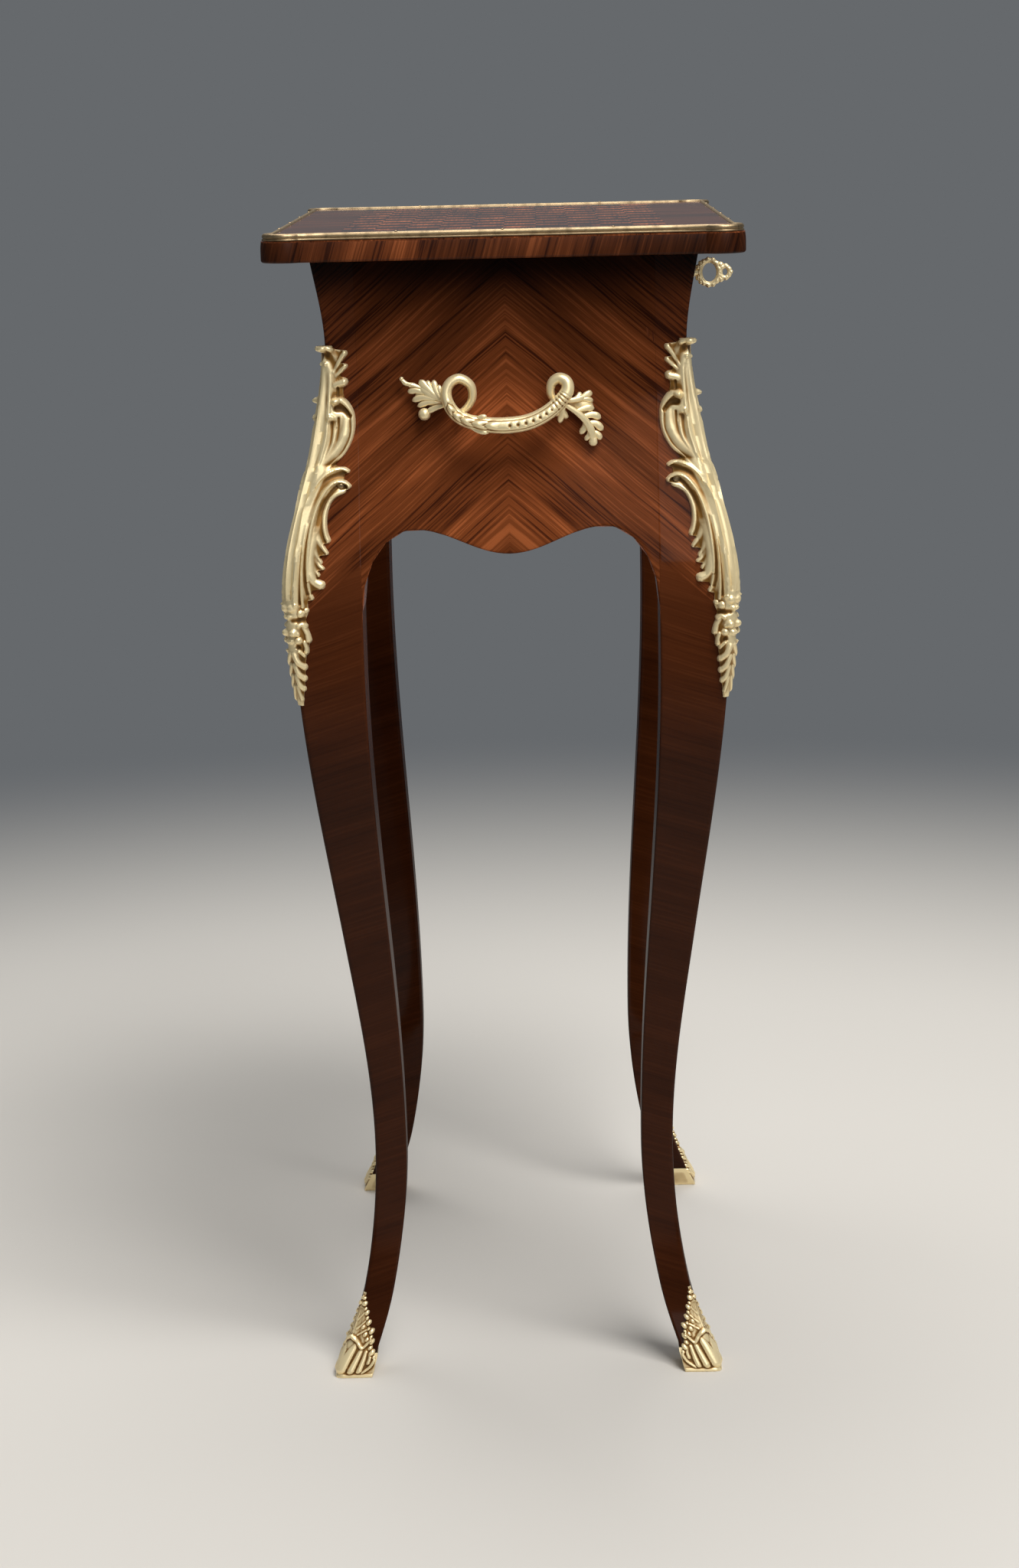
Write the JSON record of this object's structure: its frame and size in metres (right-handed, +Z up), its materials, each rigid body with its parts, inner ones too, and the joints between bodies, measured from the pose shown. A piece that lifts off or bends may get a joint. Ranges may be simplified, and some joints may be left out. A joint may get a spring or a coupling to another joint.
{
  "type": "work table",
  "caption": "Lift-top work table with a waisted case, serpentine apron and cabriole legs, gilt-bronze corner mounts, feet and end handles, and a brass-edged parquetry lid with lock and key.",
  "frame": {"origin": "on the floor under the middle of the table", "axes": "+Z up; +X along the long side to the right end as seen from the front; the front with the lock faces -Y and the lid is hinged along the back at +Y"},
  "size_m": [0.4398, 0.3038, 0.7585],
  "materials": {
    "polished_kingwood": "dark reddish-brown kingwood veneer, French polished to a high gloss",
    "parquetry_field": "kingwood and tulipwood parquetry, polished",
    "oak_carcase": "plain oak, unpolished",
    "gilt_bronze": "cast and chased bronze, pale matt gilding with burnished ridges",
    "polished_brass": "polished brass",
    "old_steel": "dull filed steel"
  },
  "bodies": {
    "case": {"leg_front_left": "polished_kingwood", "leg_front_right": "polished_kingwood", "leg_back_left": "polished_kingwood", "leg_back_right": "polished_kingwood", "front_panel": "polished_kingwood", "back_panel": "polished_kingwood", "left_end_panel": "polished_kingwood", "right_end_panel": "polished_kingwood", "bottom_board": "oak_carcase", "bottom_batten_front": "oak_carcase", "bottom_batten_back": "oak_carcase", "chute_front_left": "gilt_bronze", "chute_screw_front_left": "gilt_bronze", "sabot_front_left": "gilt_bronze", "chute_front_right": "gilt_bronze", "chute_screw_front_right": "gilt_bronze", "sabot_front_right": "gilt_bronze", "chute_back_left": "gilt_bronze", "chute_screw_back_left": "gilt_bronze", "sabot_back_left": "gilt_bronze", "chute_back_right": "gilt_bronze", "chute_screw_back_right": "gilt_bronze", "sabot_back_right": "gilt_bronze", "handle_left": "gilt_bronze", "handle_left_nut_front": "polished_brass", "handle_left_nut_back": "polished_brass", "hinge_left_case_leaf": "polished_brass", "hinge_left_pin": "old_steel", "hinge_left_case_screw_left": "polished_brass", "hinge_left_case_screw_right": "polished_brass", "handle_right": "gilt_bronze", "handle_right_nut_front": "polished_brass", "handle_right_nut_back": "polished_brass", "hinge_right_case_leaf": "polished_brass", "hinge_right_pin": "old_steel", "hinge_right_case_screw_left": "polished_brass", "hinge_right_case_screw_right": "polished_brass", "lock_case": "old_steel", "lock_screw_left": "polished_brass", "lock_screw_right": "polished_brass", "escutcheon": "gilt_bronze"},
    "lid": {"hinge_left_lid_screw_left": "polished_brass", "hinge_left_lid_screw_right": "polished_brass", "hinge_left_lid_leaf": "polished_brass", "hinge_right_lid_screw_left": "polished_brass", "hinge_right_lid_screw_right": "polished_brass", "hinge_right_lid_leaf": "polished_brass", "hook_screw_left": "polished_brass", "hook_screw_right": "polished_brass", "lid_slab": "polished_kingwood", "lid_parquetry": "parquetry_field", "lid_moulding_front": "polished_brass", "lid_moulding_back": "polished_brass", "lid_moulding_left": "polished_brass", "lid_moulding_right": "polished_brass", "lock_hook": "polished_brass"},
    "key": {"key": "polished_brass"},
    "bolt": {"lock_bolt": "polished_brass"}
  },
  "joints": [
    {"name": "lid_hinge", "type": "hinge", "parent": "case", "child": "lid", "pos_m": [0, 0.1243, 0.74045], "axis": [-1, 0, 0], "range_deg": [0, 100]},
    {"name": "key_turn", "type": "hinge", "parent": "case", "child": "key", "pos_m": [0, -0.128, 0.717], "axis": [0, -1, 0], "range_deg": [0, 180]},
    {"name": "bolt_slide", "type": "slide", "parent": "case", "child": "bolt", "axis": [-1, 0, 0], "range_m": [0, 0.008]}
  ],
  "couplings": [
    {"joint": "bolt_slide", "follows": "key_turn", "m_per_rad": 0.002546}
  ]
}
